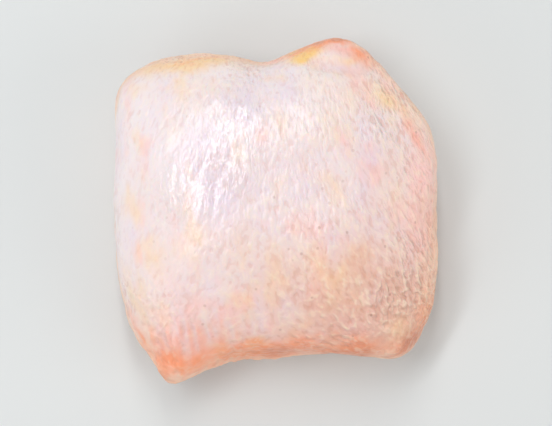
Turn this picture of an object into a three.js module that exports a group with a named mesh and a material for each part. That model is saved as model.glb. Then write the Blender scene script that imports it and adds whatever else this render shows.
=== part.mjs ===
// A raw chicken thigh with its skin on, lying skin side up.
// Units are millimetres, +Z is up and +Y runs along the thigh. It rests on z = 0.
// The surface is one closed skin that starts as a box grid, is blown up to a ball, and is then
// moved point by point to the thigh's own form.

import * as THREE from "three";
import { mergeVertices } from "three/addons/utils/BufferGeometryUtils.js";

// Driving dimensions
const width = 83;
const length = 88;
const height = 38;
const bodyWidth = 82.6; // the rounded square that the outline's swells are laid on
const bodyLength = 80;
const waistHeight = 12; // level at which the thigh is widest
const skinThickness = 1.4;

// Fineness of the mesh: cells along each edge of the box grid, and how strongly the cells
// crowd towards the crown, where 1 is even.
const gridCells = 31;
const crowding = 1.14;

// The body's cross-sections are superellipses. A squareness of 2 is a plain ellipse.
const outlineSquareness = 4;
const domeSquareness = 2.45;
const footSquareness = 2.2;
const pressedDepth = 5; // how much of the round underside its own weight has flattened
const pressedRelief = 0.9; // unevenness up to this size is pressed flat as well
const crownShift = { x: -3.5, y: 2 };

// Places where the outline swells out or is drawn in. Azimuth is in degrees from +X towards +Y,
// and polar is 0 at the crown, 90 at the waist and 180 under the middle.
const outlineSwells = [
  { name: "upper left corner", azimuth: 144.1, spread: 10, reach: 3, polar: 90, depth: 60 },
  { name: "dip beside the flap", azimuth: 95.5, spread: 10, reach: -3.2, polar: 85, depth: 45 },
  { name: "folded flap", azimuth: 68.5, spread: 18.1, reach: 3.9, polar: 84, depth: 22 },
  { name: "cut shoulder", azimuth: 42.8, spread: 12.2, reach: -4.7, polar: 85, depth: 50 },
  { name: "under the shoulder", azimuth: 25.1, spread: 7, reach: 1.4, polar: 85, depth: 50 },
  { name: "right side", azimuth: 9.8, spread: 5, reach: 1.1, polar: 90, depth: 40 },
  { name: "lower right side", azimuth: -16.1, spread: 5.4, reach: 0.5, polar: 90, depth: 40 },
  { name: "lower right corner", azimuth: -50.6, spread: 6.6, reach: 3.2, polar: 88, depth: 50 },
  { name: "lower edge", azimuth: -77.6, spread: 19.9, reach: -3.8, polar: 90, depth: 50 },
  { name: "beside the tail", azimuth: -104.1, spread: 18.7, reach: 0.4, polar: 90, depth: 50 },
  { name: "tail", azimuth: -121.4, spread: 5.5, reach: 6.4, polar: 98, depth: 30 },
  { name: "lower left side", azimuth: -150.6, spread: 5.5, reach: -0.6, polar: 90, depth: 40 },
];

// Broad rises and hollows of the dome, placed in plan.
const domeSwells = [
  { name: "thick muscle", x: -8, y: 8, spread: 17, rise: 1 },
  { name: "outer muscle", x: 19, y: -16, spread: 14, rise: 1.1 },
  { name: "valley between them", x: 12, y: 12, spread: 11, rise: -0.9 },
  { name: "hollow behind the flap", x: 5, y: 35, spread: 7, rise: -0.9 },
  { name: "flap", x: 16, y: 42, spread: 6, rise: 1.6 },
  { name: "hollow above the tail", x: -18, y: -34, spread: 7, rise: -0.6 },
  { name: "left edge", x: -34, y: -6, spread: 12, rise: 0.7 },
];

// Creases in the skin, each along an arc in plan from one end to the other. Bow is how far the
// middle of the arc stands off the straight line, to the left of its heading.
const creases = [
  { name: "fold of the flap", from: [6, 38.8], to: [28, 37.4], bow: -2.2, depth: 1.1, spread: 1.6 },
  { name: "upper fold of the tail", from: [-38, -24], to: [-14, -38], bow: 3, depth: 0.4, spread: 2.4 },
  { name: "pucker in the tail", from: [-33, -33], to: [-26, -41], bow: 0.8, depth: 0.8, spread: 1.8 },
  { name: "right shoulder", from: [28, 29], to: [34.5, 9], bow: -1.6, depth: 0.45, spread: 2 },
  { name: "lower right", from: [36, -14], to: [27, -37], bow: -2.2, depth: 0.5, spread: 2.4 },
];

// Seams between the muscles of the underside, in plan, given like the creases.
const muscleSeams = [
  { name: "along the middle", from: [-13, 34], to: [7, -36], bow: 6, depth: 3, spread: 2.4 },
  { name: "inner muscle", from: [-32, 12], to: [-3, -8], bow: -4, depth: 2.2, spread: 2.1 },
  { name: "outer muscle", from: [28, 24], to: [6, -16], bow: 6, depth: 2.3, spread: 2.2 },
  { name: "lower muscle", from: [-28, -20], to: [-6, -30], bow: 3, depth: 1.8, spread: 2 },
];
const creaseEndFade = 0.22; // share of a crease's length in which it runs out at each end

// Rolls where slack skin gathers round the side: a groove along a wavy level line, with a low
// swell above and below it.
const sideRolls = [
  { name: "front roll", azimuth: -75, reach: 42, polar: 103, wave: 5, depth: 1.3, spread: 4.5 },
  { name: "right roll", azimuth: -8, reach: 34, polar: 109, wave: 4, depth: 1.1, spread: 4.5 },
  { name: "back roll", azimuth: 118, reach: 34, polar: 101, wave: 5, depth: 1.2, spread: 4.5 },
  { name: "left roll", azimuth: 187, reach: 30, polar: 110, wave: 4, depth: 1, spread: 5 },
];
const rollForm = { groove: 0.75, swellAt: 2.1, swellAbove: 0.5, swellBelow: 0.6, waveTurn: 13 };

// The skin ends on the underside, higher up at the flap and at the tail, where flesh shows.
const skinEdge = {
  polar: 141,
  waves: [
    { perTurn: 3, size: 5, start: 0.6 },
    { perTurn: 7, size: 3, start: 2.1 },
    { perTurn: 13, size: 1.8, start: 4 },
  ],
  lifts: [
    { name: "flap", azimuth: 62, spread: 15, rise: 36 },
    { name: "tail", azimuth: -120, spread: 19, rise: 40 },
    { name: "right end", azimuth: -20, spread: 15, rise: 12 },
  ],
  softness: 3, // degrees over which the step from skin down to flesh runs
  hollow: 14, // degrees past the edge in which the flesh rises again
};

// Unevenness by wavelength in millimetres. Slack skin on the sides is more uneven than the
// tight skin on the dome.
const skinUnevenness = [
  { wavelength: 34, start: 3, onDome: 0.35, onSides: 0.7 },
  { wavelength: 13, start: 11, onDome: 0.1, onSides: 0.16 },
];
const fleshUnevenness = [
  { wavelength: 26, start: 7, size: 0.6 },
  { wavelength: 12, start: 5, size: 0.25 },
];
const sideBand = { polar: 92, spread: 26 };
const domeFeatures = { fadeFrom: 95, fadeTo: 115 }; // polar range in which they run out

const degrees = Math.PI / 180;
const goldenAngle = Math.PI * (3 - Math.sqrt(5));
const { smoothstep, clamp, lerp, euclideanModulo } = THREE.MathUtils;

const bell = (distance, spread) => Math.exp(-0.5 * (distance / spread) ** 2);
const turnBetween = (a, b) => euclideanModulo(a - b + 180, 360) - 180;
const total = (list, value) => list.reduce((sum, entry) => sum + value(entry), 0);

// A smooth uneven value, mostly between -1 and 1, from waves that cross at golden angles.
function uneven(point, wavelength, start) {
  const waves = 6;
  const shortening = 0.08;
  const phaseStep = 1.7;
  let sum = 0;
  for (let i = 0; i < waves; i++) {
    const rise = 1 - (2 * i + 1) / waves;
    const flat = Math.sqrt(1 - rise * rise);
    const heading = (i + start) * goldenAngle;
    const along = flat * (point.x * Math.cos(heading) + point.y * Math.sin(heading)) + rise * point.z;
    const cycles = along / (wavelength * (1 - shortening * i));
    sum += Math.sin(2 * Math.PI * cycles + (i + start) * phaseStep);
  }
  return sum / Math.sqrt(waves);
}

// How deep a crease or seam is at a point in plan.
function creaseDepth(crease, x, y) {
  const [ax, ay] = crease.from;
  const [bx, by] = crease.to;
  const span = Math.hypot(bx - ax, by - ay);
  const [ux, uy] = [(bx - ax) / span, (by - ay) / span];
  const share = ((x - ax) * ux + (y - ay) * uy) / span;
  const inside = clamp(share, 0, 1);
  const bow = crease.bow * 4 * inside * (1 - inside);
  const across = (y - ay) * ux - (x - ax) * uy - bow;
  const pastEnd = (share - inside) * span;
  const fade = smoothstep(inside, 0, creaseEndFade) * smoothstep(1 - inside, 0, creaseEndFade);
  return crease.depth * fade * bell(Math.hypot(across, pastEnd), crease.spread);
}

function outlineRadius(azimuth, polar) {
  const [c, s] = [Math.cos(azimuth * degrees), Math.sin(azimuth * degrees)];
  const n = outlineSquareness;
  const square = (Math.abs((2 * c) / bodyWidth) ** n + Math.abs((2 * s) / bodyLength) ** n) ** (-1 / n);
  return total(outlineSwells, ({ azimuth: at, spread, reach, polar: level, depth }) => {
    return reach * bell(turnBetween(azimuth, at), spread) * bell(polar - level, depth);
  }) + square;
}

// The plain body before folds: a domed top over a rounder, flattened underside.
function bodyPoint(azimuth, polar) {
  const onDome = polar < 90;
  const power = 2 / (onDome ? domeSquareness : footSquareness);
  const out = Math.sin(polar * degrees) ** power;
  const up = Math.abs(Math.cos(polar * degrees)) ** power;
  const radius = outlineRadius(azimuth, polar) * out;
  const lean = onDome ? up * up : 0;
  const x = radius * Math.cos(azimuth * degrees) + crownShift.x * lean;
  const y = radius * Math.sin(azimuth * degrees) + crownShift.y * lean;
  const z = onDome
    ? waistHeight + (height - waistHeight) * up
    : waistHeight - (waistHeight + pressedDepth) * up;
  return new THREE.Vector3(x, y, Math.max(z, -pressedRelief));
}

// The polar angle at which the skin ends at this azimuth.
function skinEdgePolar(azimuth) {
  const wave = total(skinEdge.waves, (w) => w.size * Math.sin(w.perTurn * azimuth * degrees + w.start));
  const lift = total(skinEdge.lifts, (l) => l.rise * bell(turnBetween(azimuth, l.azimuth), l.spread));
  return skinEdge.polar + wave - lift;
}

function rollRelief(roll, azimuth, polar) {
  const turn = turnBetween(azimuth, roll.azimuth);
  const level = roll.polar + roll.wave * Math.sin(turn / rollForm.waveTurn + roll.azimuth);
  const off = (polar - level) / roll.spread;
  const above = rollForm.swellAbove * bell(off + rollForm.swellAt, 1);
  const below = rollForm.swellBelow * bell(off - rollForm.swellAt, 1);
  return roll.depth * bell(turn, roll.reach / 2) * (above + below - bell(off, rollForm.groove));
}

// Relief of the skin, in millimetres outwards.
function skinRelief(point, azimuth, polar) {
  const { x, y } = point;
  const swells = total(domeSwells, (s) => s.rise * bell(Math.hypot(x - s.x, y - s.y), s.spread));
  const folds = total(creases, (crease) => creaseDepth(crease, x, y));
  const rolls = total(sideRolls, (roll) => rollRelief(roll, azimuth, polar));
  const onDome = 1 - smoothstep(polar, domeFeatures.fadeFrom, domeFeatures.fadeTo);
  const onSides = bell(polar - sideBand.polar, sideBand.spread);
  const waves = total(skinUnevenness, (u) => {
    return lerp(u.onDome, u.onSides, onSides) * uneven(point, u.wavelength, u.start);
  });
  return onDome * (swells - folds) + rolls + waves;
}

// Relief of the bare flesh: lobes of muscle with seams between them.
function fleshRelief(point) {
  const lobes = total(fleshUnevenness, (u) => u.size * uneven(point, u.wavelength, u.start));
  return lobes - total(muscleSeams, (seam) => creaseDepth(seam, point.x, point.y));
}

// The surface in a direction from the middle: the body, with skin or flesh relief laid on it.
function surfacePoint(direction) {
  const azimuth = Math.atan2(direction.y, direction.x) / degrees;
  const polar = 180 * (Math.acos(clamp(direction.z, -1, 1)) / Math.PI) ** crowding;
  const point = bodyPoint(azimuth, polar);
  const edgeSlope = (skinEdgePolar(azimuth + 1) - skinEdgePolar(azimuth - 1)) / 2;
  const pastEdge = (polar - skinEdgePolar(azimuth)) / Math.hypot(1, edgeSlope);
  const bare = smoothstep(pastEdge, -skinEdge.softness, skinEdge.softness);
  const step = skinThickness * bell(pastEdge, skinEdge.hollow);
  const relief = lerp(skinRelief(point, azimuth, polar), fleshRelief(point) - step, bare);
  const sideways = relief * Math.sin(polar * degrees);
  point.x += sideways * Math.cos(azimuth * degrees);
  point.y += sideways * Math.sin(azimuth * degrees);
  point.z = Math.max(0, point.z + relief * Math.cos(polar * degrees));
  return point;
}

// A box grid blown up to a ball, with cells of nearly even size.
function ballGrid(cells) {
  const box = new THREE.BoxGeometry(2, 2, 2, cells, cells, cells);
  box.deleteAttribute("normal");
  box.deleteAttribute("uv");
  const ball = mergeVertices(box);
  const place = ball.getAttribute("position");
  const even = (value) => Math.tan((value * Math.PI) / 4);
  for (let i = 0; i < place.count; i++) {
    const at = new THREE.Vector3().fromBufferAttribute(place, i);
    at.set(even(at.x), even(at.y), even(at.z)).normalize();
    place.setXYZ(i, at.x, at.y, at.z);
  }
  return ball;
}

function thighGeometry() {
  const geometry = ballGrid(gridCells);
  const place = geometry.getAttribute("position");
  for (let i = 0; i < place.count; i++) {
    const at = surfacePoint(new THREE.Vector3().fromBufferAttribute(place, i));
    place.setXYZ(i, at.x, at.y, at.z);
  }
  geometry.computeBoundingBox();
  const size = geometry.boundingBox.getSize(new THREE.Vector3());
  const middle = geometry.boundingBox.getCenter(new THREE.Vector3());
  geometry.translate(-middle.x, -middle.y, 0);
  geometry.scale(width / size.x, length / size.y, height / size.z);
  geometry.computeVertexNormals();
  return geometry;
}

const rawSkin = new THREE.MeshStandardMaterial({ color: 0xeed8d0, roughness: 0.35, metalness: 0 });
const thigh = new THREE.Mesh(thighGeometry(), rawSkin);
thigh.name = "chicken_thigh";

const part = new THREE.Group();
part.add(thigh);

export default part;
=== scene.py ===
# Raw chicken thigh with its skin on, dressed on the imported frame. Lengths are in metres, but the
# tables of the thigh's form, its fine relief and its patches are in millimetres and degrees.

import math
from itertools import product

import bpy
import numpy as np
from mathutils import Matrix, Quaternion, Vector


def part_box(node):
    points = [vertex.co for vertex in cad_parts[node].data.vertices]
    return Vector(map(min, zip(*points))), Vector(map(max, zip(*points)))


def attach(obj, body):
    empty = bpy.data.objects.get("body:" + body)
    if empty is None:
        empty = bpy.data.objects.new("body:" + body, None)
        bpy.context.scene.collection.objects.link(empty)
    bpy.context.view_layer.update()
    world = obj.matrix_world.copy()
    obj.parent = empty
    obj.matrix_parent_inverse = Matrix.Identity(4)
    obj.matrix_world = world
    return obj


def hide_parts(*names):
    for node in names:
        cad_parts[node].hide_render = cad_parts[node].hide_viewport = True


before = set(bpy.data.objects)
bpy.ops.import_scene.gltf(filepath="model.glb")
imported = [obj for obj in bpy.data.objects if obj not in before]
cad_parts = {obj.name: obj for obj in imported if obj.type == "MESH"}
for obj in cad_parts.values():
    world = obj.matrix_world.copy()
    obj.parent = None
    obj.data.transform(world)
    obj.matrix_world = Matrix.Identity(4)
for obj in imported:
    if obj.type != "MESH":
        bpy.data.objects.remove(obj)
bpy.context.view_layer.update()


# Camera: straight down on the skin side, with +Y up in the picture

cameraView = {
    "lens": 200,  # long, so that the sides hardly show
    "sensor": 36,
    "pictureWidth": 0.139,  # how much of the table the picture takes in
    "target": (0.0, -0.0005, 0.022),
}


def makeCamera(view):
    camera = bpy.data.objects.new("camera", bpy.data.cameras.new("camera"))
    camera.data.lens = view["lens"]
    camera.data.sensor_width = view["sensor"]
    away = view["pictureWidth"] * view["lens"] / view["sensor"]
    camera.location = Vector(view["target"]) + Vector((0, 0, away))
    bpy.context.collection.objects.link(camera)
    bpy.context.scene.camera = camera


makeCamera(cameraView)
print("camera set")


# Light: long soft lamps above the upper left and behind, whose reflections lie on the creped skin,
# a low lamp that rakes over the grain, and a wide fill at the right

lamps = {
    # place, width and height, turn in degrees, watts, colour
    "keyLamp": ((-0.34, 0.14, 0.81), (0.66, 0.12), -7, 2.1, (0.94, 0.97, 1.0)),
    "rakingLamp": ((-0.66, -0.52, 0.36), (0.60, 0.60), 0, 1.3, (0.98, 0.99, 1.0)),
    "fillLamp": ((0.80, -0.35, 0.38), (0.90, 0.90), 0, 2.3, (1.0, 0.97, 0.94)),
    "backLamp": ((-0.05, 0.60, 0.83), (0.14, 0.78), 0, 2.6, (0.99, 0.98, 0.98)),
}


def makeLamp(name, place, size, turn, watts, colour):
    light = bpy.data.lights.new(name, "AREA")
    light.shape = "ELLIPSE"
    light.size, light.size_y = size
    light.energy = watts
    light.color = colour
    holder = bpy.data.objects.new(name, light)
    holder.location = place
    facing = (-Vector(place)).to_track_quat("-Z", "Y") @ Quaternion((0, 0, 1), math.radians(turn))
    holder.rotation_euler = facing.to_euler()
    bpy.context.collection.objects.link(holder)


for lampName, lampValues in lamps.items():
    makeLamp(lampName, *lampValues)

bpy.context.scene.view_settings.view_transform = "Standard"
print("lights set")


# Shader tools

class Wire:
    # an output socket that can stand in a sum: each operator adds its Math node
    def __init__(self, socket):
        self.socket = socket

    def maths(self, operation, *terms):
        tree = self.socket.id_data
        step = tree.nodes.new("ShaderNodeMath")
        step.operation = operation
        for slot, term in zip(step.inputs, terms):
            if isinstance(term, Wire):
                tree.links.new(term.socket, slot)
            else:
                slot.default_value = term
        return Wire(step.outputs[0])

    def __add__(self, other):
        return self.maths("ADD", self, other)

    def __sub__(self, other):
        return self.maths("SUBTRACT", self, other)

    def __mul__(self, other):
        return self.maths("MULTIPLY", self, other)

    def __rsub__(self, other):
        return self.maths("SUBTRACT", other, self)

    __radd__ = __add__
    __rmul__ = __mul__

    def beside(self, name):
        # another output of the same node
        return Wire(self.socket.node.outputs[name])


class Finish:
    # the nodes of a material, or of the room, under construction
    def __init__(self, owner):
        owner.use_nodes = True
        self.tree = owner.node_tree
        self.tree.nodes.clear()

    def node(self, kind, settings=None, sockets=None, out=0):
        made = self.tree.nodes.new(kind)
        for key, value in (settings or {}).items():
            setattr(made, key, value)
        for key, value in (sockets or {}).items():
            if isinstance(value, Wire):
                self.tree.links.new(value.socket, made.inputs[key])
            else:
                made.inputs[key].default_value = value
        return Wire(made.outputs[out]) if made.outputs else None

    def attribute(self, name):
        return self.node("ShaderNodeAttribute", {"attribute_name": name}, out="Fac")

    def ramp(self, value, low, high):
        # 0 below low, 1 above high, smooth between them
        return self.node(
            "ShaderNodeMapRange",
            {"interpolation_type": "SMOOTHSTEP"},
            {"Value": value, "From Min": low, "From Max": high},
        )

    def noise(self, place, size, detail=2.0, roughness=0.5, seed=0.0):
        # noise between 0 and 1 whose lumps are about size metres across
        return self.node(
            "ShaderNodeTexNoise",
            {"noise_dimensions": "4D"},
            {
                "Vector": place,
                "W": seed,
                "Scale": 1 / size,
                "Detail": detail,
                "Roughness": roughness,
            },
        )

    def stretch(self, place, scale, lean=0.0):
        # a pattern drawn out by scale, then leaned to the left
        return self.node(
            "ShaderNodeMapping",
            {"vector_type": "TEXTURE"},
            {"Vector": place, "Rotation": (0, 0, math.radians(lean)), "Scale": scale},
        )

    def tint(self, under, over, mask):
        return self.node(
            "ShaderNodeMix",
            {"data_type": "RGBA", "clamp_factor": True},
            {0: mask, 6: under, 7: over},
            out=2,
        )


def paint(creaseRedAndShade, green, blue):
    # a colour as a photo editor names it, in 0 to 255
    def linear(value):
        value /= 255
        return value / 12.92 if value <= 0.04045 else ((value + 0.055) / 1.055) ** 2.4

    return (linear(creaseRedAndShade), linear(green), linear(blue), 1.0)


# A pale room, brighter towards the horizon, where its walls catch the light

room = {
    "colour": (0.98, 0.98, 0.99, 1.0),
    "horizon": 0.78,
    "overhead": 0.47,
    "wallTop": 0.7,  # 0 is level with the table, 1 straight up
}


def makeRoom(values):
    world = bpy.data.worlds.new("room")
    finish = Finish(world)
    way = finish.node("ShaderNodeTexCoord", out="Generated")
    rise = finish.node("ShaderNodeSeparateXYZ", sockets={"Vector": way}, out="Z")
    gain = values["overhead"] - values["horizon"]
    strength = finish.ramp(rise, 0.0, values["wallTop"]) * gain + values["horizon"]
    glow = finish.node(
        "ShaderNodeBackground", sockets={"Color": values["colour"], "Strength": strength}
    )
    finish.node("ShaderNodeOutputWorld", sockets={"Surface": glow})
    bpy.context.scene.world = world


makeRoom(room)
print("room set")


# The thigh's form: the same named sizes as its solid

thighForm = {
    "bodyWidth": 82.6,
    "bodyLength": 80,
    "height": 38,
    "waistHeight": 12,
    "skinThickness": 1.4,
    "outlineSquareness": 4,
    "domeSquareness": 2.45,
    "footSquareness": 2.2,
    "pressedDepth": 5,
    "pressedRelief": 0.9,
    "crownShift": (-3.5, 2),
    # azimuth, spread, reach, polar, depth
    "outlineSwells": {
        "upperLeftCorner": (144.1, 10, 3, 90, 60),
        "dipBesideFlap": (95.5, 10, -3.2, 85, 45),
        "foldedFlap": (68.5, 18.1, 3.9, 84, 22),
        "cutShoulder": (42.8, 12.2, -4.7, 85, 50),
        "underShoulder": (25.1, 7, 1.4, 85, 50),
        "rightSide": (9.8, 5, 1.1, 90, 40),
        "lowerRightSide": (-16.1, 5.4, 0.5, 90, 40),
        "lowerRightCorner": (-50.6, 6.6, 3.2, 88, 50),
        "lowerEdge": (-77.6, 19.9, -3.8, 90, 50),
        "besideTail": (-104.1, 18.7, 0.4, 90, 50),
        "tail": (-121.4, 5.5, 6.4, 98, 30),
        "lowerLeftSide": (-150.6, 5.5, -0.6, 90, 40),
    },
    # x, y, spread, rise
    "domeSwells": {
        "thickMuscle": (-8, 8, 17, 1),
        "outerMuscle": (19, -16, 14, 1.1),
        "valleyBetween": (12, 12, 11, -0.9),
        "hollowBehindFlap": (5, 35, 7, -0.9),
        "flap": (16, 42, 6, 1.6),
        "hollowAboveTail": (-18, -34, 7, -0.6),
        "leftEdge": (-34, -6, 12, 0.7),
    },
    # from, to, bow, depth, spread
    "creases": {
        "foldOfFlap": ((6, 38.8), (28, 37.4), -2.2, 1.1, 1.6),
        "upperFoldOfTail": ((-38, -24), (-14, -38), 3, 0.4, 2.4),
        "puckerInTail": ((-33, -33), (-26, -41), 0.8, 0.8, 1.8),
        "rightShoulder": ((28, 29), (34.5, 9), -1.6, 0.45, 2),
        "lowerRight": ((36, -14), (27, -37), -2.2, 0.5, 2.4),
    },
    "muscleSeams": {
        "alongMiddle": ((-13, 34), (7, -36), 6, 3, 2.4),
        "innerMuscle": ((-32, 12), (-3, -8), -4, 2.2, 2.1),
        "outerMuscle": ((28, 24), (6, -16), 6, 2.3, 2.2),
        "lowerMuscle": ((-28, -20), (-6, -30), 3, 1.8, 2),
    },
    "creaseEndFade": 0.22,
    # azimuth, reach, polar, wave, depth, spread
    "sideRolls": {
        "front": (-75, 42, 103, 5, 1.3, 4.5),
        "right": (-8, 34, 109, 4, 1.1, 4.5),
        "back": (118, 34, 101, 5, 1.2, 4.5),
        "left": (187, 30, 110, 4, 1, 5),
    },
    "rollGroove": 0.75,
    "rollSwellAt": 2.1,
    "rollSwellAbove": 0.5,
    "rollSwellBelow": 0.6,
    "rollWaveTurn": 13,
    "skinEdgePolar": 141,
    "skinEdgeWaves": ((3, 5, 0.6), (7, 3, 2.1), (13, 1.8, 4)),  # per turn, size, start
    # azimuth, spread, rise
    "skinEdgeLifts": {"flap": (62, 15, 36), "tail": (-120, 19, 40), "rightEnd": (-20, 15, 12)},
    "skinEdgeHollow": 14,
    # wavelength, start, size on the dome, size on the sides
    "skinWaves": ((34, 3, 0.35, 0.7), (13, 11, 0.1, 0.16)),
    "fleshWaves": ((26, 7, 0.6), (12, 5, 0.25)),
    "sideBand": (92, 26),
    "domeFade": (95, 115),
}

# Finer relief, which only this mesh has

thighRelief = {
    "cells": 124,  # along each edge of the box grid
    "crowding": 1.22,  # more of them on top, which is looked at most
    "edgeSoftness": 1.3,
    "grainCell": (1.15, 2.3, 1.8),  # short ridges of the skin, along the thigh
    "coarseGrainCell": (1.8, 3.3, 2.6),
    "grainShare": 0.4,
    "coarseGrainShare": 0.3,
    "grainLean": -4,
    "coarseGrainLean": -9,  # on top of the lean of the rows
    "grainFan": 0.011,  # the rows lean further towards the sides
    "grainDrift": 1.2,  # how far the rows of grains wander
    "driftCell": (8, 8, 8),
    "grainHeight": 0.34,
    "grainMean": 0.9,  # its strength varies round this share of the zones' value
    "grainVaries": 0.4,
    "varyingCell": (9, 11, 9),
    "wrinkleCell": (1.4, 3.4, 2.0),
    "wrinkleHeight": 0.12,
    "wrinkleEverywhere": 0.35,  # the rest of it follows the grain
    "stretchCell": (1.1, 9.0, 3.0),  # drawn-out lines where the skin is pulled towards the tail
    "stretchHeight": 0.5,
    "stretchLean": -10,
    "rippleCell": (5.5, 8.0, 5.0),
    "rippleHeight": 0.16,
    "rippleLean": -8,
    "rippleEverywhere": 0.3,  # the rest of it keeps to the sides
    "fleshCell": (1.1, 6.0, 1.5),
    "fleshHeight": 0.22,
    "fleshLean": 20,
    "seeds": {
        "grain": 41,
        "wrinkle": 46,
        "ripple": 50,
        "flesh": 54,
        "stretch": 58,
        "drift": 61,
        "varying": 65,
        "coarseGrain": 71,
    },
}

# Where the grain stands out

grainPlan = {
    "everywhere": 0.34,
    "moreAtRim": 0.24,
    "rimPolar": (60, 85),
    "most": 1.2,
    # x, y, spread across, spread along, strength
    "zones": {
        "lowOnTheRight": (22, -21, 16, 12, 0.62),
        "rightSide": (32, 3, 8, 15, 0.34),
        "rightShoulder": (25, 25, 9, 9, 0.45),
        "crown": (-10, 14, 12, 13, 0.1),
        "upperRim": (-20, 38, 14, 4, 0.26),
        "lowOnTheLeft": (-22, -27, 13, 9, 0.2),
    },
}

# Where the skin is pulled towards the tail

pulledSkin = {
    "place": (-21, -36),
    "reach": 8,
    "widerBy": 1.5,
    "startsBelow": (20, 32),  # how far towards the tail it comes in
    "streakContrast": 0.5,
    "streakStrength": 1.6,
}

# Patches of the skin's own colour; some also paint shade at the edges and the cool cast of a
# reflection: x, y, half width, half length, lean, strength

skinPatches = {
    "fat": (
        (-31, -12, 2.8, 6, -4, 0.34), (-7.1, -28, 3.2, 6, 0, 0.4), (-32.5, 6.5, 2, 4, 0, 0.18),
        (1, 0, 2, 1.8, 0, 0.35), (-8.1, 30.9, 1.8, 3.6, 0, 0.3), (19.5, -3.2, 3.8, 4.6, 20, 0.32),
        (-27, 21.1, 2.2, 4, 0, 0.28), (-27.5, 34, 3.4, 3.2, 0, 0.32),
        (12, -17, 6, 7, 15, 0.36), (7.6, 39.6, 4.4, 2.1, 22, 1.5), (17, 37.2, 6, 1.1, 0, 0.7),
        (33, 24, 2.6, 6, 38, 0.6), (27.5, 29, 3.6, 7, 40, 0.6), (-22, 36.6, 11, 2.4, 4, 0.85),
        (-29, -27, 2.2, 6, 22, 0.4), (-36.2, -24, 1.6, 9, 20, 0.55),
        (17, 30, 12, 8, 0, 0.4), (-16, 31, 12, 6, 0, 0.34), (31, -30, 4, 4, 0, 0.5),
        (-4, -34, 5, 2.4, 6, 0.6),
    ),
    # lavender: blotches of the skin's own; the patches at (-15, 9) and (-8, 26), over the wet
    # creped zone, paint the cool cast of its reflection
    "lavenderAndCoolReflection": (
        (-6.5, 28, 1.8, 2.6, 0, 0.7), (2.3, 28.6, 3.2, 2.4, 0, 0.6), (-28.6, 7.8, 2.4, 3.2, 0, 0.5),
        (-13.6, 1.3, 3.2, 3.2, 0, 0.5), (23.4, 13, 3.8, 3.2, 0, 0.6), (35.2, -11.7, 2, 5, 0, 0.5),
        (27, -4, 3.2, 2.7, 0, 0.6), (25.3, -21.5, 2.7, 3.2, 0, 0.45), (-17, -14, 6, 6, 0, 0.4),
        (16, 41.4, 3, 0.9, -4, 0.5), (3, -24, 2, 3, 0, 0.5), (14, 20, 4, 4, 0, 0.3),
        (-15, 9, 11, 13, 0, 0.75), (-8, 26, 8, 8, 0, 0.6), (5, 6, 13, 13, 0, 0.5),
        (-4.5, -19.5, 6, 5, 0, 0.42),
    ),
    "rosy": (
        (-1.5, -29.5, 2, 3, 0, 0.6), (16.3, -8.5, 1.6, 1.6, 0, 0.6), (31.2, -1.3, 2.6, 4.6, 0, 0.5),
        (37, 3, 3.6, 16, 0, 0.8), (36, 18, 2.4, 7, 32, 0.9), (-30, -33, 5, 3, -28, 0.6),
        (-26, -22, 8, 8, 0, 0.35), (-38, 26, 1.6, 6, 0, 0.5), (20, -30, 8, 5, 0, 0.45),
        (28, 35, 2, 5, 20, 0.5), (15.4, 39.8, 3.4, 1.6, -4, 1), (0, 38.4, 3.6, 1.2, 12, 0.9),
    ),
    # orange: the tail and the flap's edge are the skin's own colour; the bands along the bottom and
    # right rims and the lower right edge are partly that and partly painted shade where the side
    # turns down
    "orange": (
        (-27, -38.5, 4, 3, -8, 1.25), (-21, -37.8, 5, 2.6, 18, 1),
        (-14.5, -35.6, 3.4, 1.8, 15, 0.9), (-36.4, -30, 0.8, 6, 26, 0.8),
        (21.6, 39, 4.4, 2.2, -28, 1.15), (12, 42.8, 9.5, 1.7, 9, 1.5),
        (4.8, 40.6, 3.6, 1.1, 24, 0.9), (-2, -35.6, 13, 2.4, 6, 1.1),
        (19, -34.6, 14, 2.4, -3, 1.2), (40.4, -4, 1.4, 20, 0, 0.25),
        (35.6, 18, 1.8, 7, 32, 0.5), (-21, 38.2, 8, 0.8, 8, 0.5), (38.4, -26, 2, 7, -22, 1),
    ),
    # russet: partly the skin's own brown edge and partly painted shade along the bottom rim, in the
    # lower right corner, at the tail's tip and along the top of the flap
    "russetAndEdgeShade": (
        (13, 43.4, 8, 1.1, 6, 1.1), (24.5, 39.4, 2.6, 1, -40, 0.8), (20, -36.4, 13, 2.5, 0, 0.98),
        (-2, -37, 12, 2, 6, 0.9), (35.2, -32.5, 2.4, 4.8, -42, 1.05), (-29, -42, 2, 1.4, 20, 0.7),
    ),
}

# Where the skin is finely creped and wettest, in the same order

crepedPatches = ((-10, 24, 6, 8, -10, 1), (-22.5, 4, 8, 7, 20, 1), (-12, 12, 7, 8, 0, 1))

# How the masks that the material reads follow the form; angles are in degrees from the top

maskPlan = {
    "edgeSpan": 40,  # across the skin's edge
    "rimPolar": (56, 98),
    "rimFadePolar": (82, 108),
    "rimFade": 0.6,
    # how much further up the rim's warm colour and its painted shade reach: azimuth, spread,
    # degrees
    "rimReach": {
        "right": (-2, 24, 6),
        "lowerSide": (-80, 30, 16),
        "tail": (-124, 12, 4),
        "leftSide": (178, 30, -22),
        "upperLeft": (122, 22, 14),
        "flap": (70, 13, 10),
        "shoulder": (32, 13, 10),
    },
    "foldShare": 0.8,
    "grooveShare": 0.6,
    "grooveMost": 2,
    "seamDepth": 2.5,
    "crepedEdge": (0.15, 0.8),
    "dusky": (27, -27, 19, 15),  # x, y, spread across, spread along
    "patchSpread": 0.9,
    "patchesEndPolar": (78, 102),
    # how far the patches' edges wander: size, cell, seed
    "wobble": ((0.8, (2.2, 3, 2.5), 91), (0.9, (6, 8, 6), 101)),
    # how they fade in and out: mean, size, cell, seed
    "fade": (0.85, 0.45, (7, 7, 7), 111),
}


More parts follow.
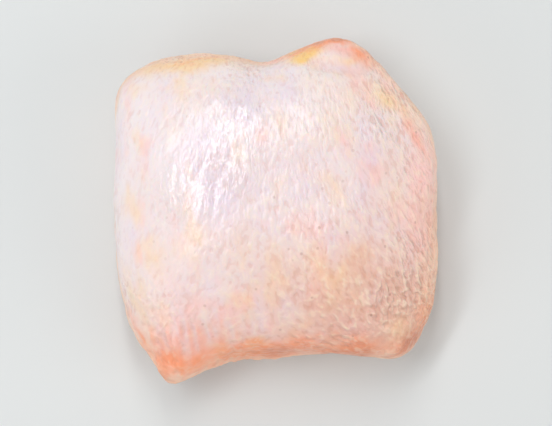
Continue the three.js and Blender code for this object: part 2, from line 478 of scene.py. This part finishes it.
def bell(distance, spread):
    return np.exp(-0.5 * (distance / spread) ** 2)


def smooth(value, low, high):
    part = np.clip((value - low) / (high - low), 0, 1)
    return part * part * (3 - 2 * part)


def turnBetween(a, b):
    return (a - b + 180) % 360 - 180


def uneven(points, wavelength, start, waves=6, shortening=0.08, offset=1.7):
    # the sum of a few waves that run in well-spread directions
    goldenAngle = math.pi * (3 - math.sqrt(5))
    total = 0
    for i in range(waves):
        rise = 1 - (2 * i + 1) / waves
        flat = math.sqrt(1 - rise * rise)
        heading = (i + start) * goldenAngle
        way = np.array((flat * math.cos(heading), flat * math.sin(heading), rise))
        cycles = points @ way / (wavelength * (1 - shortening * i))
        total = total + np.sin(2 * math.pi * cycles + (i + start) * offset)
    return total / math.sqrt(waves)


def creaseDepth(form, crease, x, y):
    # a groove from one point to another, bowed like a parabola and faded at its ends
    (ax, ay), (bx, by), bow, depth, spread = crease
    span = math.hypot(bx - ax, by - ay)
    ux, uy = (bx - ax) / span, (by - ay) / span
    share = ((x - ax) * ux + (y - ay) * uy) / span
    inside = np.clip(share, 0, 1)
    across = (y - ay) * ux - (x - ax) * uy - bow * 4 * inside * (1 - inside)
    pastEnd = (share - inside) * span
    fade = smooth(inside, 0, form["creaseEndFade"]) * smooth(1 - inside, 0, form["creaseEndFade"])
    return depth * fade * bell(np.hypot(across, pastEnd), spread)


def outlineRadius(form, azimuth, polar):
    c, s = np.cos(np.radians(azimuth)), np.sin(np.radians(azimuth))
    n = form["outlineSquareness"]
    square = np.abs(2 * c / form["bodyWidth"]) ** n + np.abs(2 * s / form["bodyLength"]) ** n
    radius = square ** (-1 / n)
    for at, spread, reach, level, depth in form["outlineSwells"].values():
        swell = reach * bell(turnBetween(azimuth, at), spread) * bell(polar - level, depth)
        radius = radius + swell
    return radius


def bodyPoints(form, azimuth, polar):
    onDome = polar < 90
    power = np.where(onDome, 2 / form["domeSquareness"], 2 / form["footSquareness"])
    out = np.sin(np.radians(polar)) ** power
    up = np.abs(np.cos(np.radians(polar))) ** power
    radius = outlineRadius(form, azimuth, polar) * out
    lean = np.where(onDome, up * up, 0)
    waist = form["waistHeight"]
    above = waist + (form["height"] - waist) * up
    below = waist - (waist + form["pressedDepth"]) * up
    return np.stack(
        (
            radius * np.cos(np.radians(azimuth)) + form["crownShift"][0] * lean,
            radius * np.sin(np.radians(azimuth)) + form["crownShift"][1] * lean,
            np.maximum(np.where(onDome, above, below), -form["pressedRelief"]),
        ),
        axis=1,
    )


def skinEdge(form, azimuth):
    edge = form["skinEdgePolar"]
    for perTurn, size, start in form["skinEdgeWaves"]:
        edge = edge + size * np.sin(perTurn * np.radians(azimuth) + start)
    for at, spread, rise in form["skinEdgeLifts"].values():
        edge = edge - rise * bell(turnBetween(azimuth, at), spread)
    return edge


def rollRelief(form, roll, azimuth, polar):
    at, reach, level, wave, depth, spread = roll
    turn = turnBetween(azimuth, at)
    off = (polar - level - wave * np.sin(turn / form["rollWaveTurn"] + at)) / spread
    above = form["rollSwellAbove"] * bell(off + form["rollSwellAt"], 1)
    below = form["rollSwellBelow"] * bell(off - form["rollSwellAt"], 1)
    return depth * bell(turn, reach / 2) * (above + below - bell(off, form["rollGroove"]))


cellMixing = {
    "perAxis": (73856093, 19349663, 83492791),
    "perSeed": 40503,
    "stir": 1274126177,
    "shifts": (13, 16),
    "steps": 0xFFFFFF,
}


def cellDraw(cells, seed):
    # one random number between 0 and 1 for each whole-numbered cell, the same on every run
    kx, ky, kz = cellMixing["perAxis"]
    first, second = cellMixing["shifts"]
    mixed = cells[:, 0] * kx ^ cells[:, 1] * ky ^ cells[:, 2] * kz ^ seed * cellMixing["perSeed"]
    mixed = (mixed ^ (mixed >> first)) * cellMixing["stir"]
    mixed = (mixed ^ (mixed >> second)) & cellMixing["steps"]
    return mixed / cellMixing["steps"]


def softNoise(points, cell, seed):
    # smooth random relief between -1 and 1
    scaled = points / np.array(cell)
    base = np.floor(scaled).astype(np.int64)
    part = scaled - base
    part = part**3 * (part * (part * 6 - 15) + 10)
    total = np.zeros(len(points))
    for corner in product((0, 1), repeat=3):
        step = np.array(corner)
        weight = np.prod(np.where(step == 1, part, 1 - part), axis=1)
        total += weight * cellDraw(base + step, seed)
    return 2 * total - 1


def turned(points, degrees):
    c, s = math.cos(math.radians(degrees)), math.sin(math.radians(degrees))
    x, y, z = points.T
    return np.stack((c * x - s * y, s * x + c * y, z), axis=1)


def ballGrid(cells):
    # a box grid blown up to a ball, with cells of nearly even size
    steps = np.arange(cells + 1)
    perSheet = (cells + 1) ** 2
    corners = []
    quads = []
    for axis, side in product(range(3), (0, 1)):
        u, v = np.meshgrid(steps, steps, indexing="ij")
        sheet = np.zeros((cells + 1, cells + 1, 3), dtype=np.int64)
        sheet[..., (axis + 1) % 3] = u
        sheet[..., (axis + 2) % 3] = v
        sheet[..., axis] = side * cells
        at = np.arange(perSheet).reshape(cells + 1, cells + 1) + len(corners) * perSheet
        ring = [at[:-1, :-1], at[1:, :-1], at[1:, 1:], at[:-1, 1:]]
        ring = ring if side else ring[::-1]
        quads.append(np.stack([r.ravel() for r in ring], axis=1))
        corners.append(sheet.reshape(-1, 3))
    shared, where = np.unique(np.concatenate(corners), axis=0, return_inverse=True)
    faces = where.reshape(-1)[np.concatenate(quads)]
    spread = np.tan((shared * 2 / cells - 1) * math.pi / 4)
    return spread / np.linalg.norm(spread, axis=1, keepdims=True), faces


def thighSurface(form, relief):
    directions, faces = ballGrid(relief["cells"])
    azimuth = np.degrees(np.arctan2(directions[:, 1], directions[:, 0]))
    polar = 180 * (np.arccos(np.clip(directions[:, 2], -1, 1)) / math.pi) ** relief["crowding"]
    points = bodyPoints(form, azimuth, polar)
    x, y = points[:, 0], points[:, 1]

    # the skin's own folds and swells
    swells = sum(rise * bell(np.hypot(x - cx, y - cy), spread)
                 for cx, cy, spread, rise in form["domeSwells"].values())
    folds = sum(creaseDepth(form, crease, x, y) for crease in form["creases"].values())
    rolls = sum(rollRelief(form, roll, azimuth, polar) for roll in form["sideRolls"].values())
    onDome = 1 - smooth(polar, *form["domeFade"])
    onSides = bell(polar - form["sideBand"][0], form["sideBand"][1])
    skin = onDome * (swells - folds) + rolls
    for wavelength, start, dome, sides in form["skinWaves"]:
        skin = skin + (dome + (sides - dome) * onSides) * uneven(points, wavelength, start)

    # lobes of bare flesh with seams between them
    seams = sum(creaseDepth(form, seam, x, y) for seam in form["muscleSeams"].values())
    flesh = -seams
    for wavelength, start, size in form["fleshWaves"]:
        flesh = flesh + size * uneven(points, wavelength, start)

    slope = (skinEdge(form, azimuth + 1) - skinEdge(form, azimuth - 1)) / 2
    pastEdge = (polar - skinEdge(form, azimuth)) / np.hypot(1, slope)
    bare = smooth(pastEdge, -relief["edgeSoftness"], relief["edgeSoftness"])
    flesh = flesh - form["skinThickness"] * bell(pastEdge, form["skinEdgeHollow"])

    # pebbled grain, fine wrinkles and soft ripples, strongest low on the right
    seeds = relief["seeds"]
    drift = [softNoise(points, relief["driftCell"], seeds["drift"] + i) for i in range(3)]
    lean = turned(points + relief["grainDrift"] * np.stack(drift, axis=1), relief["grainLean"])
    lean[:, 0] += relief["grainFan"] * x * y
    further = turned(lean, relief["coarseGrainLean"])
    coarseGrain = softNoise(further, relief["coarseGrainCell"], seeds["coarseGrain"])
    grain = 0.5 + relief["grainShare"] * softNoise(lean, relief["grainCell"], seeds["grain"])
    grain = grain + relief["coarseGrainShare"] * coarseGrain
    wrinkle = softNoise(lean, relief["wrinkleCell"], seeds["wrinkle"])
    ripple = softNoise(turned(points, relief["rippleLean"]), relief["rippleCell"], seeds["ripple"])
    varying = softNoise(points, relief["varyingCell"], seeds["varying"])
    share = relief["grainMean"] + relief["grainVaries"] * varying
    rough = grainStrength(grainPlan, x, y, polar) * share
    pulled = pulledStrength(pulledSkin, x, y)
    along = turned(points, relief["stretchLean"])
    stretch = softNoise(along, relief["stretchCell"], seeds["stretch"])
    fine = relief["grainHeight"] * rough * (grain - 0.5)
    fine = fine + relief["wrinkleHeight"] * partly(relief["wrinkleEverywhere"], rough) * wrinkle
    fine = fine + relief["rippleHeight"] * partly(relief["rippleEverywhere"], onSides) * ripple
    fine = fine + relief["stretchHeight"] * pulled * stretch
    fibre = softNoise(turned(points, relief["fleshLean"]), relief["fleshCell"], seeds["flesh"])
    skin = skin + fine
    flesh = flesh + relief["fleshHeight"] * fibre

    height = skin + (flesh - skin) * bare
    sideways = height * np.sin(np.radians(polar))
    points[:, 0] += sideways * np.cos(np.radians(azimuth))
    points[:, 1] += sideways * np.sin(np.radians(azimuth))
    points[:, 2] = np.maximum(0, points[:, 2] + height * np.cos(np.radians(polar)))

    # masks for the material: x and y are now those of the finished surface
    plan = maskPlan
    reach = sum(size * bell(turnBetween(azimuth, at), spread)
                for at, spread, size in plan["rimReach"].values())
    rimStart, rimEnd = plan["rimPolar"]
    grooves = np.clip(-rolls, 0, plan["grooveMost"])
    duskX, duskY, duskAcross, duskAlong = plan["dusky"]
    streaks = partly(1 - pulledSkin["streakContrast"], stretch)
    masks = {
        "bareFlesh": bare,
        "pastEdge": np.clip(pastEdge / plan["edgeSpan"] + 0.5, 0, 1),
        "rim": smooth(polar, rimStart - reach, rimEnd)
        * (1 - plan["rimFade"] * smooth(polar, *plan["rimFadePolar"])),
        "fold": np.clip(folds * onDome * plan["foldShare"] + grooves * plan["grooveShare"], 0, 1),
        "seam": np.clip(seams / plan["seamDepth"], 0, 1),
        "grain": grain,
        "coarse": rough,
        "creped": smooth(patchMask(crepedPatches, x, y), *plan["crepedEdge"]),
        "dusky": bell(np.hypot((x - duskX) / duskAcross, (y - duskY) / duskAlong), 1),
        "pulled": np.clip(pulled * streaks * pulledSkin["streakStrength"], 0, 1),
    }
    wobble = [
        sum(size * softNoise(points, cell, seed + i) for size, cell, seed in plan["wobble"])
        for i in range(2)
    ]
    mean, size, cell, seed = plan["fade"]
    faded = mean + size * softNoise(points, cell, seed)
    seenFromAbove = 1 - smooth(polar, *plan["patchesEndPolar"])
    for name, patches in skinPatches.items():
        masks[name] = patchMask(patches, x + wobble[0], y + wobble[1]) * seenFromAbove * faded
    return points, faces, masks


def partly(floor, value):
    # floor where value is 0, and 1 where it is 1
    return floor + (1 - floor) * value


def pulledStrength(pull, x, y):
    px, py = pull["place"]
    near = bell(np.hypot((x - px) / pull["widerBy"], y - py), pull["reach"])
    return near * smooth(-y, *pull["startsBelow"])


def patchMask(patches, x, y):
    mask = np.zeros(len(x))
    for px, py, halfWidth, halfLength, lean, strength in patches:
        c, s = math.cos(math.radians(lean)), math.sin(math.radians(lean))
        u = (c * (x - px) + s * (y - py)) / halfWidth
        v = (c * (y - py) - s * (x - px)) / halfLength
        mask = np.maximum(mask, strength * bell(np.hypot(u, v), maskPlan["patchSpread"]))
    return mask


def grainStrength(plan, x, y, polar):
    strength = plan["everywhere"] + plan["moreAtRim"] * smooth(polar, *plan["rimPolar"])
    for cx, cy, spreadAcross, spreadAlong, more in plan["zones"].values():
        away = np.hypot((x - cx) / spreadAcross, (y - cy) / spreadAlong)
        strength = strength + more * bell(away, 1)
    return np.clip(strength, 0, plan["most"])


def makeThigh():
    points, faces, masks = thighSurface(thighForm, thighRelief)
    low, high = (np.array(corner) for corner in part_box("chicken_thigh"))
    bottom, top = points.min(axis=0), points.max(axis=0)
    points = low + (points - bottom) * (high - low) / (top - bottom)
    mesh = bpy.data.meshes.new("thigh")
    mesh.from_pydata(points, [], faces)
    for name, values in masks.items():
        layer = mesh.attributes.new(name, "FLOAT", "POINT")
        layer.data.foreach_set("value", values.astype(np.float32))
    mesh.shade_smooth()
    thigh = bpy.data.objects.new("thigh_with_skin", mesh)
    bpy.context.collection.objects.link(thigh)
    return thigh


thigh = makeThigh()
print("thigh mesh made:", len(thigh.data.polygons), "faces")


# Raw skin over fat, with wet flesh where the skin ends

rawSkin = {
    "tones": {
        "cream": (242, 229, 229),
        "warm": (239, 198, 182),
        "fat": (255, 206, 120),
        "lavenderAndCoolReflection": (230, 215, 231),
        "duskTanAndShade": (229, 180, 158),
        "rosy": (253, 196, 188),
        "orange": (253, 150, 98),
        "russetAndEdgeShade": (214, 134, 102),
        "rimPeach": (253, 207, 174),
        "rimDeepAndShade": (250, 168, 130),
        "pitBloodAndShade": (206, 134, 104),
        "grainTopAndGlint": (255, 236, 208),
        "pore": (170, 116, 100),
        "creaseRedAndShade": (228, 96, 64),
        "fleshLight": (236, 166, 146),
        "fleshDark": (190, 84, 70),
        "fascia": (240, 212, 198),
        "edgeFat": (247, 216, 174),
    },
    "wanderScale": 180,  # per metre: how often the dashes bend
    "wander": 0.0014,  # and how far
    "fan": 11.0,  # per metre: the dashes lean further towards the sides
    "poreSpacing": 0.0050,
    # drawn out by, lean in degrees
    "stretches": {
        "dashes": ((1.0, 1.9, 1.3), 4),
        "crepe": ((1.0, 2.4, 1.5), 2),
        "tall": ((1.0, 1.8, 1.0), 4),
        "fibres": ((1.0, 5.0, 1.4), -20),
    },
    # size of a lump in metres, detail, roughness, seed
    "noises": {
        "dashes": (0.0011, 1, 0.5, 31.0),
        "wrinkle": (0.0021, 2, 0.55, 32.0),
        "crepe": (0.0017, 2, 0.55, 35.0),
        "drift": (0.022, 2, 0.5, 1.0),
        "mottle": (0.0048, 2, 0.5, 61.0),
        "uneven": (0.010, 2, 0.5, 15.0),
        "speckle": (0.0016, 2, 0.6, 51.0),
        "streak": (0.0030, 3, 0.6, 21.0),
        "fascia": (0.011, 3, 0.6, 25.0),
        "finest": (0.0004, 2, 0.5, 33.0),
        "patchy": (0.006, 2, 0.5, 37.0),
        "film": (0.009, 2, 0.5, 41.0),
    },
    # where each thing starts to show, and where it shows in full
    "ramps": {
        "pits": (1.1, 1.5),
        "ridges": (1.4, 1.85),
        "warmth": (0.0, 1.1),
        "duskTanAndShade": (0.1, 1.0),
        "rimPeach": (0.1, 0.9),
        "rimDeepAndShade": (0.72, 1.15),
        "patch": (0.05, 1.2),
        "fold": (0.25, 1.0),
        "hollow": (0.3, 0.95),
        "grainTopAndGlint": (0.3, 1.0),
        "pore": (0.05, 0.11),
        "fleshLight": (0.3, 0.7),
        "fascia": (0.54, 0.7),
        "edgeFatStart": (0.44, 0.5),
        "edgeFatEnd": (0.55, 0.64),
        "film": (0.3, 0.6),
    },
    # how strongly each tint covers what is under it
    "covers": {
        "duskTanAndShade": 0.85,
        "rimPeach": 0.9,
        "rimDeepAndShade": 0.85,
        "patch": 0.9,
        "pulled": 0.5,
        "fold": 0.12,
        "pitBloodAndShade": 0.4,
        "pitMoreAtRim": 0.12,
        "grainTopAndGlint": 0.5,
        "grainTopLessAtRim": 0.3,
        "pore": 0.6,
        "fascia": 0.6,
        "seam": 0.7,
        "edgeFat": 0.65,
    },
    # tone, size of a lump in metres, where it starts, where it is full, cover, seed
    "blotches": (
        ("lavenderAndCoolReflection", 0.010, 0.50, 0.72, 0.45, 3.0),
        ("rosy", 0.0075, 0.54, 0.72, 0.5, 7.0),
        ("fat", 0.0062, 0.50, 0.76, 0.34, 11.0),
    ),
    "mixes": {
        "dashes": 2.1,  # the fine relief
        "wrinkle": 0.85,
        "warmerAcross": 7.0,  # per metre
        "coolerAlong": 12.0,
        "warmthDrift": 0.9,
        "warmthMean": 0.42,
        "duskDrift": 0.5,
        "duskMottle": 1.6,
        "rimUneven": 0.5,
        "speckle": 0.6,
        "meshGrain": 0.4,  # how far the pits and grain tops follow the mesh, and the finer relief
        "fineGrain": 0.6,
    },
    "reliefDepth": 0.00030,
    "relief": {
        "coarse": 2.2,
        "everywhere": 0.22,
        "creped": 2.5,
        "crepeEverywhere": 0.3,
        "flesh": 0.8,
        "finest": 0.1,
    },
    "roughness": 0.33,
    "patchyRougher": 0.16,
    "rimRougher": 0.1,
    "crepedSmoother": 0.14,
    "bareSmoother": 0.14,
    "ior": 1.45,
    "specular": 0.8,
    "wetness": 0.08,
    "filmWetness": 0.12,
    "crepedWetness": 0.8,
    "coatRoughness": 0.18,
    "coatIor": 1.4,
    "subsurface": 0.22,
    "bleed": (1.0, 0.42, 0.24),
    "bleedDepth": 0.0016,
}


def makeSkin(values):
    material = bpy.data.materials.new("raw_skin")
    finish = Finish(material)
    tone = {name: paint(*colour) for name, colour in values["tones"].items()}
    noises, ramps, covers = values["noises"], values["ramps"], values["covers"]
    stretches, mixes, heights = values["stretches"], values["mixes"], values["relief"]
    place = finish.node("ShaderNodeTexCoord", out="Object")
    spot = finish.node("ShaderNodeSeparateXYZ", sockets={"Vector": place}, out="X")
    across, along = spot, spot.beside("Y")
    rim = finish.attribute("rim")
    bare = finish.attribute("bareFlesh")
    coarse = finish.attribute("coarse")

    # wrinkles and pebbles too fine for the mesh, drawn out along the thigh
    wander = finish.node(
        "ShaderNodeTexNoise",
        {"noise_dimensions": "3D"},
        {"Vector": place, "Scale": values["wanderScale"], "Detail": 2},
        out="Color",
    )
    bent = finish.node(
        "ShaderNodeVectorMath",
        {"operation": "MULTIPLY_ADD"},
        {0: wander, 1: (values["wander"],) * 3, 2: place},
    )
    fan = finish.node("ShaderNodeCombineXYZ", sockets={"X": across * along * values["fan"]})
    fanned = finish.node("ShaderNodeVectorMath", {"operation": "ADD"}, {0: bent, 1: fan})
    drawn = finish.stretch(fanned, *stretches["dashes"])
    dashes = finish.noise(drawn, *noises["dashes"])
    wrinkle = finish.noise(drawn, *noises["wrinkle"])
    relief = dashes * mixes["dashes"] + wrinkle * mixes["wrinkle"]
    pits = 1 - finish.ramp(relief, *ramps["pits"])
    ridges = finish.ramp(relief, *ramps["ridges"])
    crepe = finish.noise(finish.stretch(bent, *stretches["crepe"]), *noises["crepe"])

    # cream at the upper left, warmer down and to the right
    drift = finish.noise(place, *noises["drift"])
    slant = across * mixes["warmerAcross"] - along * mixes["coolerAlong"]
    warmth = slant + (drift - 0.5) * mixes["warmthDrift"] + mixes["warmthMean"]
    skin = finish.tint(tone["cream"], tone["warm"], finish.ramp(warmth, *ramps["warmth"]))
    tall = finish.stretch(place, *stretches["tall"])
    for name, size, low, high, cover, seed in values["blotches"]:
        blotch = finish.ramp(finish.noise(tall, size, seed=seed), low, high)
        skin = finish.tint(skin, tone[name], blotch * cover)

    # a tan tone low on the right, mottled: partly the skin's own warmer colour and partly painted
    # shade where the dome turns away from the light
    dusky = finish.attribute("dusky")
    mottle = finish.noise(tall, *noises["mottle"]) - 0.5
    duskTanAndShade = dusky + (drift - 0.5) * mixes["duskDrift"] + dusky * mottle * mixes["duskMottle"]
    skin = finish.tint(skin, tone["duskTanAndShade"], finish.ramp(duskTanAndShade, *ramps["duskTanAndShade"]) * covers["duskTanAndShade"])

    # towards the rim the skin is stretched thinner and shows warmer; the deeper tint is partly
    # painted shade where the side turns down
    uneven = finish.noise(place, *noises["uneven"]) - 0.5
    for name in ("rimPeach", "rimDeepAndShade"):
        thin = finish.ramp(rim + uneven * mixes["rimUneven"], *ramps[name])
        skin = finish.tint(skin, tone[name], thin * covers[name])
    speckle = finish.noise(tall, *noises["speckle"]) - 0.5
    # the patches tint the skin with its own colours; some also paint shade at the edges and the
    # cool cast of the wet zone's reflection, as noted where they are listed
    for name in skinPatches:
        patch = finish.attribute(name)
        patch = finish.ramp(patch + patch * speckle * mixes["speckle"], *ramps["patch"])
        skin = finish.tint(skin, tone[name], patch * covers["patch"])
    skin = finish.tint(skin, tone["orange"], finish.attribute("pulled") * covers["pulled"])
    # red in the creases and the grooves between the side rolls: partly redder skin and partly
    # painted shade in the folds
    fold = finish.ramp(finish.attribute("fold"), *ramps["fold"])
    skin = finish.tint(skin, tone["creaseRedAndShade"], fold * covers["fold"])

    # the ridges of the grain are paler, partly their own colour and partly a painted glint, and the
    # pits between them darker, partly blood and partly painted shade in the hollows
    grain = finish.attribute("grain")
    hollow = (1 - grain) * mixes["meshGrain"] + pits * mixes["fineGrain"]
    pitCover = covers["pitBloodAndShade"] + rim * covers["pitMoreAtRim"]
    bloodAndHollowShade = finish.ramp(hollow, *ramps["hollow"]) * coarse * pitCover
    skin = finish.tint(skin, tone["pitBloodAndShade"], bloodAndHollowShade)
    top = grain * mixes["meshGrain"] + ridges * mixes["fineGrain"]
    topCover = covers["grainTopAndGlint"] - rim * covers["grainTopLessAtRim"]
    paler = finish.ramp(top, *ramps["grainTopAndGlint"]) * coarse * topCover
    skin = finish.tint(skin, tone["grainTopAndGlint"], paler)
    pore = finish.node(
        "ShaderNodeTexVoronoi",
        {"feature": "F1"},
        {"Vector": place, "Scale": 1 / values["poreSpacing"], "Randomness": 1.0},
    )
    dots = 1 - finish.ramp(pore, *ramps["pore"])
    skin = finish.tint(skin, tone["pore"], dots * coarse * covers["pore"])

    # flesh with pale sheets of fascia
    streak = finish.noise(finish.stretch(place, *stretches["fibres"]), *noises["streak"])
    light = finish.ramp(streak, *ramps["fleshLight"])
    flesh = finish.tint(tone["fleshDark"], tone["fleshLight"], light)
    sheet = finish.ramp(finish.noise(place, *noises["fascia"]), *ramps["fascia"])
    flesh = finish.tint(flesh, tone["fascia"], sheet * covers["fascia"])
    flesh = finish.tint(flesh, tone["fleshDark"], finish.attribute("seam") * covers["seam"])
    whole = finish.tint(skin, flesh, bare)
    pastEdge = finish.attribute("pastEdge")
    started = finish.ramp(pastEdge, *ramps["edgeFatStart"])
    fatEdge = started * (1 - finish.ramp(pastEdge, *ramps["edgeFatEnd"]))
    whole = finish.tint(whole, tone["edgeFat"], fatEdge * covers["edgeFat"])

    # a damp film, broken by the wrinkles, glossier on flesh and where the skin is creped
    finest = finish.noise(place, *noises["finest"])
    creped = finish.attribute("creped")
    onSkin = relief * (coarse * coarse * heights["coarse"] + heights["everywhere"])
    onSkin = onSkin + crepe * (creped * heights["creped"] + heights["crepeEverywhere"])
    height = onSkin * (1 - bare) + streak * bare * heights["flesh"] + finest * heights["finest"]
    bump = finish.node(
        "ShaderNodeBump",
        sockets={"Strength": 1.0, "Distance": values["reliefDepth"], "Height": height},
    )
    patchy = finish.noise(place, *noises["patchy"]) - 0.5
    film = finish.ramp(finish.noise(place, *noises["film"]), *ramps["film"])
    rougher = patchy * values["patchyRougher"] + rim * values["rimRougher"] + values["roughness"]
    rougher = rougher - creped * values["crepedSmoother"] - bare * values["bareSmoother"]
    wetter = film * values["filmWetness"] + creped * values["crepedWetness"] + values["wetness"]
    shader = finish.node(
        "ShaderNodeBsdfPrincipled",
        {"subsurface_method": "RANDOM_WALK"},
        {
            "Base Color": whole,
            "Roughness": rougher,
            "Normal": bump,
            "IOR": values["ior"],
            "Specular IOR Level": values["specular"],
            "Subsurface Weight": values["subsurface"],
            "Subsurface Radius": values["bleed"],
            "Subsurface Scale": values["bleedDepth"],
            "Coat Weight": wetter,
            "Coat Roughness": values["coatRoughness"],
            "Coat IOR": values["coatIor"],
        },
    )
    finish.node("ShaderNodeOutputMaterial", sockets={"Surface": shader})
    return material


thigh.data.materials.append(makeSkin(rawSkin))
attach(thigh, "root")
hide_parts("chicken_thigh")
print("skin finished")


# A plain pale table top

tableTop = {
    "size": 3.0,
    "colour": (222, 225, 224),
    "darkerBy": 3,  # in its faint clouds
    "clouds": (0.2, 2, 0.5, 2.0),  # size of a lump in metres, detail, roughness, seed
    "roughness": 0.6,
}


def makeTable(values):
    half = values["size"] / 2
    mesh = bpy.data.meshes.new("tableTop")
    corners = [(-half, -half, 0), (half, -half, 0), (half, half, 0), (-half, half, 0)]
    mesh.from_pydata(corners, [], [(0, 1, 2, 3)])
    table = bpy.data.objects.new("table_top", mesh)
    bpy.context.collection.objects.link(table)
    material = bpy.data.materials.new("pale_table")
    finish = Finish(material)
    place = finish.node("ShaderNodeTexCoord", out="Object")
    cloud = finish.noise(place, *values["clouds"])
    darker = paint(*(part - values["darkerBy"] for part in values["colour"]))
    shade = finish.tint(paint(*values["colour"]), darker, cloud)
    shader = finish.node(
        "ShaderNodeBsdfPrincipled", sockets={"Base Color": shade, "Roughness": values["roughness"]}
    )
    finish.node("ShaderNodeOutputMaterial", sockets={"Surface": shader})
    mesh.materials.append(material)
    return table


makeTable(tableTop)
print("table set")
